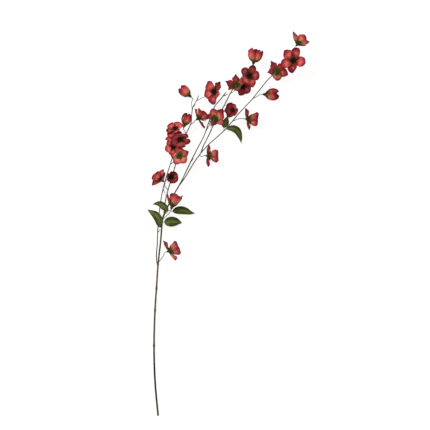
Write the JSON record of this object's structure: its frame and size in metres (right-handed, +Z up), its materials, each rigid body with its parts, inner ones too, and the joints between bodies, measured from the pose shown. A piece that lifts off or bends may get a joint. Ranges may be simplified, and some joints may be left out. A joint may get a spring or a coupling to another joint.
{
  "type": "cherry blossom branch",
  "caption": "Artificial cherry blossom branch lying flat: a long bare stem that forks into arching twigs with open blossoms, closed buds and a few pointed leaves.",
  "frame": {"origin": "middle of the footprint on the surface that the branch lies on", "axes": "+Y along the branch towards its flowering tip, +X to the side that it arches to, +Z up"},
  "size_m": [0.4068, 0.9595, 0.0942],
  "materials": {
    "bark": "matt dark grey-brown moulded bark",
    "twig": "matt grey-olive moulded twig, calyx dark olive",
    "petal": "soft dyed cloth, coral middle with plum edges",
    "stamen": "matt very dark brown",
    "leaf": "coated dark green cloth with a satin sheen"
  },
  "bodies": {
    "root": {"lower_blossom_1": "petal", "lower_blossom_1_stamens": "stamen", "lower_blossom_2": "petal", "lower_blossom_2_stamens": "stamen", "main_stem": "bark", "left_blossom_1": "petal", "left_blossom_1_stamens": "stamen", "left_blossom_2": "petal", "left_blossom_3": "petal", "left_blossom_3_stamens": "stamen", "left_branch": "twig", "middle_blossom_1": "petal", "middle_blossom_1_stamens": "stamen", "middle_blossom_2": "petal", "middle_blossom_3": "petal", "middle_blossom_3_stamens": "stamen", "middle_blossom_4": "petal", "middle_blossom_5": "petal", "middle_blossom_5_stamens": "stamen", "middle_blossom_6": "petal", "middle_blossom_6_stamens": "stamen", "middle_blossom_7": "petal", "middle_blossom_7_stamens": "stamen", "middle_blossom_8": "petal", "middle_blossom_8_stamens": "stamen", "middle_branch": "twig", "outer_blossom_1": "petal", "outer_blossom_1_stamens": "stamen", "outer_blossom_2": "petal", "outer_blossom_2_stamens": "stamen", "outer_blossom_3": "petal", "outer_blossom_4": "petal", "outer_blossom_5": "petal", "outer_blossom_5_stamens": "stamen", "outer_blossom_6": "petal", "outer_blossom_6_stamens": "stamen", "outer_branch": "twig", "inner_blossom_1": "petal", "inner_blossom_2": "petal", "inner_branch": "twig", "centre_blossom_1": "petal", "centre_blossom_1_stamens": "stamen", "centre_blossom_2": "petal", "centre_blossom_2_stamens": "stamen", "centre_blossom_3": "petal", "centre_blossom_3_stamens": "stamen", "centre_blossom_4": "petal", "centre_blossom_5": "petal", "centre_blossom_5_stamens": "stamen", "centre_branch": "twig", "leaf_1": "leaf", "leaf_2": "leaf", "leaf_3": "leaf", "leaf_4": "leaf", "leaf_5": "leaf", "leaf_6": "leaf"}
  },
  "joints": []
}
